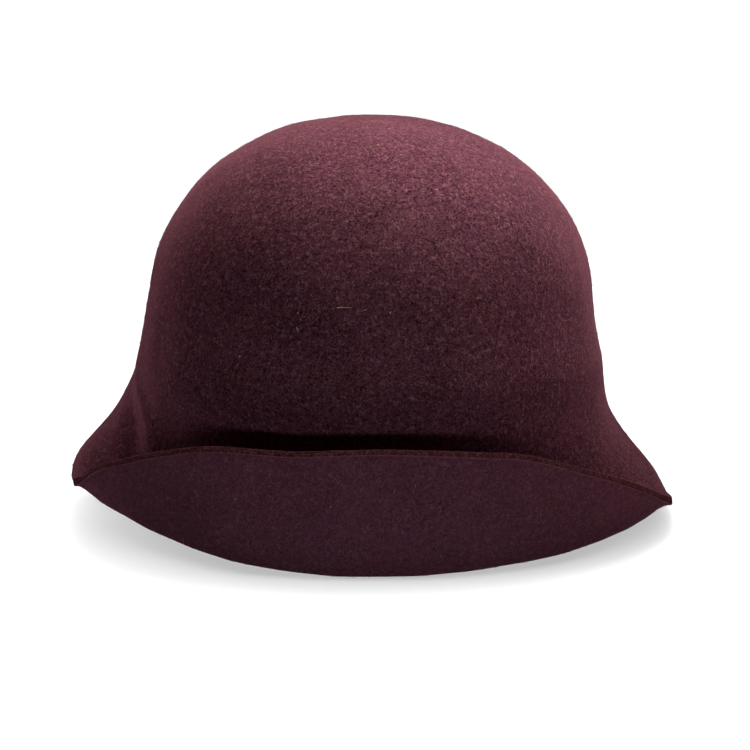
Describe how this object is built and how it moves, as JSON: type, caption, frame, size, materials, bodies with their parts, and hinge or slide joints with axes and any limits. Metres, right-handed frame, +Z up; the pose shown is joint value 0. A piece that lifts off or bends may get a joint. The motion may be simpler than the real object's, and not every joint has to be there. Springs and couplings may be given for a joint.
{
  "type": "cloche hat",
  "caption": "One-piece wool felt cloche hat with a round crown, a bell brim turned down at the sides and back, and a front brim turned up as a deep cuff.",
  "frame": {"origin": "on the surface that the hat rests on, under the middle of the head opening", "axes": "+Z up through the crown, -Y towards the turned-up front, +X towards the wearer's left"},
  "size_m": [0.2164, 0.2461, 0.141],
  "materials": {
    "wool_felt": "brushed wool felt with a short soft nap, matt, dark burgundy"
  },
  "bodies": {
    "root": {"felt_body": "wool_felt"}
  },
  "joints": []
}
